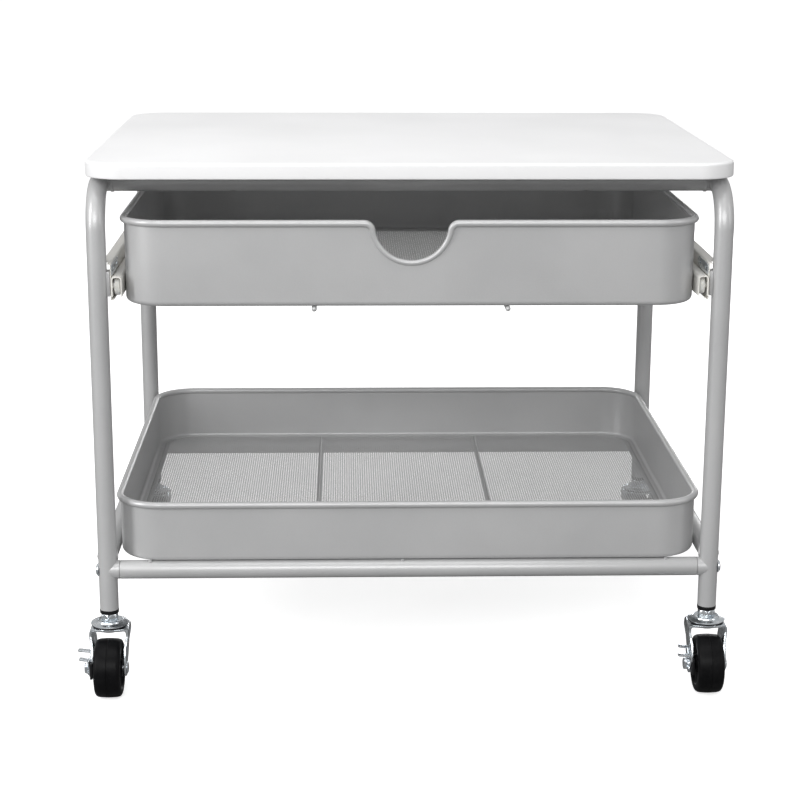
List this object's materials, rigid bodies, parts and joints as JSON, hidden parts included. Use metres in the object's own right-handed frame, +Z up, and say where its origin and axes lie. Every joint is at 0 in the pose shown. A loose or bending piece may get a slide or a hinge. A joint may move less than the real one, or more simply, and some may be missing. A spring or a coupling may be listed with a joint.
{
  "type": "sewing table",
  "caption": "Wheeled sewing table: white top on a bent grey tube frame, sliding mesh-floored drawer with finger notch, lower mesh tray, swivel casters, front ones braked.",
  "frame": {"origin": "on the floor under the middle of the tabletop", "axes": "+Z up, front with the finger notch toward -Y, +X to the right of someone facing the front"},
  "size_m": [0.7732, 0.642, 0.63],
  "materials": {
    "laminate": "satin white melamine laminate",
    "grey_paint": "satin silver-grey powder coat",
    "cream_paint": "cream epoxy coat",
    "nylon": "natural white nylon",
    "zinc": "bright zinc plate",
    "black_plastic": "matt black moulding",
    "black_rubber": "black moulded wheel"
  },
  "bodies": {
    "frame": {"tabletop": "laminate", "left_side_frame": "grey_paint", "left_lower_side_tube": "grey_paint", "right_side_frame": "grey_paint", "right_lower_side_tube": "grey_paint", "front_upper_cross_tube": "grey_paint", "front_lower_cross_tube": "grey_paint", "front_left_saddle_spacer": "grey_paint", "front_left_frame_bolt": "zinc", "front_right_saddle_spacer": "grey_paint", "front_right_frame_bolt": "zinc", "rear_upper_cross_tube": "grey_paint", "rear_lower_cross_tube": "grey_paint", "rear_left_saddle_spacer": "grey_paint", "rear_left_frame_bolt": "zinc", "rear_right_saddle_spacer": "grey_paint", "rear_right_frame_bolt": "zinc", "tray_shell": "grey_paint", "tray_mesh_floor": "grey_paint", "tray_left_support_bar": "grey_paint", "tray_right_support_bar": "grey_paint", "left_cabinet_slide": "cream_paint", "front_left_slide_bracket": "grey_paint", "rear_left_slide_bracket": "grey_paint", "right_cabinet_slide": "cream_paint", "front_right_slide_bracket": "grey_paint", "rear_right_slide_bracket": "grey_paint", "front_left_leg_insert": "black_plastic", "front_left_swivel_stem": "zinc", "front_right_leg_insert": "black_plastic", "front_right_swivel_stem": "zinc", "rear_left_leg_insert": "black_plastic", "rear_left_swivel_stem": "zinc", "rear_right_leg_insert": "black_plastic", "rear_right_swivel_stem": "zinc"},
    "drawer": {"drawer_shell": "grey_paint", "drawer_mesh_floor": "grey_paint", "drawer_left_support_bar": "grey_paint", "drawer_right_support_bar": "grey_paint", "left_drawer_slide": "cream_paint", "right_drawer_slide": "cream_paint"},
    "left_front_roller": {"left_front_roller": "nylon"},
    "left_rear_roller": {"left_rear_roller": "nylon"},
    "right_front_roller": {"right_front_roller": "nylon"},
    "right_rear_roller": {"right_rear_roller": "nylon"},
    "front_left_caster_fork": {"front_left_fork": "zinc", "front_left_axle": "zinc"},
    "front_left_caster_wheel": {"front_left_wheel": "black_rubber"},
    "front_left_brake": {"front_left_brake_rocker": "zinc"},
    "front_right_caster_fork": {"front_right_fork": "zinc", "front_right_axle": "zinc"},
    "front_right_caster_wheel": {"front_right_wheel": "black_rubber"},
    "front_right_brake": {"front_right_brake_rocker": "zinc"},
    "rear_left_caster_fork": {"rear_left_fork": "zinc", "rear_left_axle": "zinc"},
    "rear_left_caster_wheel": {"rear_left_wheel": "black_rubber"},
    "rear_right_caster_fork": {"rear_right_fork": "zinc", "rear_right_axle": "zinc"},
    "rear_right_caster_wheel": {"rear_right_wheel": "black_rubber"}
  },
  "joints": [
    {"name": "drawer_slide", "type": "slide", "parent": "frame", "child": "drawer", "axis": [0, -1, 0], "range_m": [0, 0.4]},
    {"name": "left_front_roller_spin", "type": "hinge", "parent": "frame", "child": "left_front_roller", "pos_m": [-0.33285, -0.258, 0.489], "axis": [1, 0, 0], "continuous": true},
    {"name": "left_rear_roller_spin", "type": "hinge", "parent": "drawer", "child": "left_rear_roller", "pos_m": [-0.33285, 0.222, 0.487], "axis": [1, 0, 0], "continuous": true},
    {"name": "right_front_roller_spin", "type": "hinge", "parent": "frame", "child": "right_front_roller", "pos_m": [0.33285, -0.258, 0.489], "axis": [1, 0, 0], "continuous": true},
    {"name": "right_rear_roller_spin", "type": "hinge", "parent": "drawer", "child": "right_rear_roller", "pos_m": [0.33285, 0.222, 0.487], "axis": [1, 0, 0], "continuous": true},
    {"name": "front_left_caster_swivel", "type": "hinge", "parent": "frame", "child": "front_left_caster_fork", "pos_m": [-0.355, -0.266, 0.085], "axis": [0, 0, 1], "continuous": true},
    {"name": "front_left_wheel_spin", "type": "hinge", "parent": "front_left_caster_fork", "child": "front_left_caster_wheel", "pos_m": [-0.355, -0.286, 0.035], "axis": [1, 0, 0], "continuous": true},
    {"name": "front_left_brake_rock", "type": "hinge", "parent": "front_left_caster_fork", "child": "front_left_brake", "pos_m": [-0.355, -0.286, 0.035], "axis": [1, 0, 0], "range_deg": [-10, 10]},
    {"name": "front_right_caster_swivel", "type": "hinge", "parent": "frame", "child": "front_right_caster_fork", "pos_m": [0.355, -0.266, 0.085], "axis": [0, 0, 1], "continuous": true},
    {"name": "front_right_wheel_spin", "type": "hinge", "parent": "front_right_caster_fork", "child": "front_right_caster_wheel", "pos_m": [0.355, -0.286, 0.035], "axis": [1, 0, 0], "continuous": true},
    {"name": "front_right_brake_rock", "type": "hinge", "parent": "front_right_caster_fork", "child": "front_right_brake", "pos_m": [0.355, -0.286, 0.035], "axis": [1, 0, 0], "range_deg": [-10, 10]},
    {"name": "rear_left_caster_swivel", "type": "hinge", "parent": "frame", "child": "rear_left_caster_fork", "pos_m": [-0.355, 0.266, 0.085], "axis": [0, 0, 1], "continuous": true},
    {"name": "rear_left_wheel_spin", "type": "hinge", "parent": "rear_left_caster_fork", "child": "rear_left_caster_wheel", "pos_m": [-0.355, 0.286, 0.035], "axis": [1, 0, 0], "continuous": true},
    {"name": "rear_right_caster_swivel", "type": "hinge", "parent": "frame", "child": "rear_right_caster_fork", "pos_m": [0.355, 0.266, 0.085], "axis": [0, 0, 1], "continuous": true},
    {"name": "rear_right_wheel_spin", "type": "hinge", "parent": "rear_right_caster_fork", "child": "rear_right_caster_wheel", "pos_m": [0.355, 0.286, 0.035], "axis": [1, 0, 0], "continuous": true}
  ],
  "couplings": [
    {"joint": "left_front_roller_spin", "follows": "drawer_slide", "rad_per_m": 90.909},
    {"joint": "left_rear_roller_spin", "follows": "drawer_slide", "rad_per_m": 90.909},
    {"joint": "right_front_roller_spin", "follows": "drawer_slide", "rad_per_m": 90.909},
    {"joint": "right_rear_roller_spin", "follows": "drawer_slide", "rad_per_m": 90.909}
  ]
}
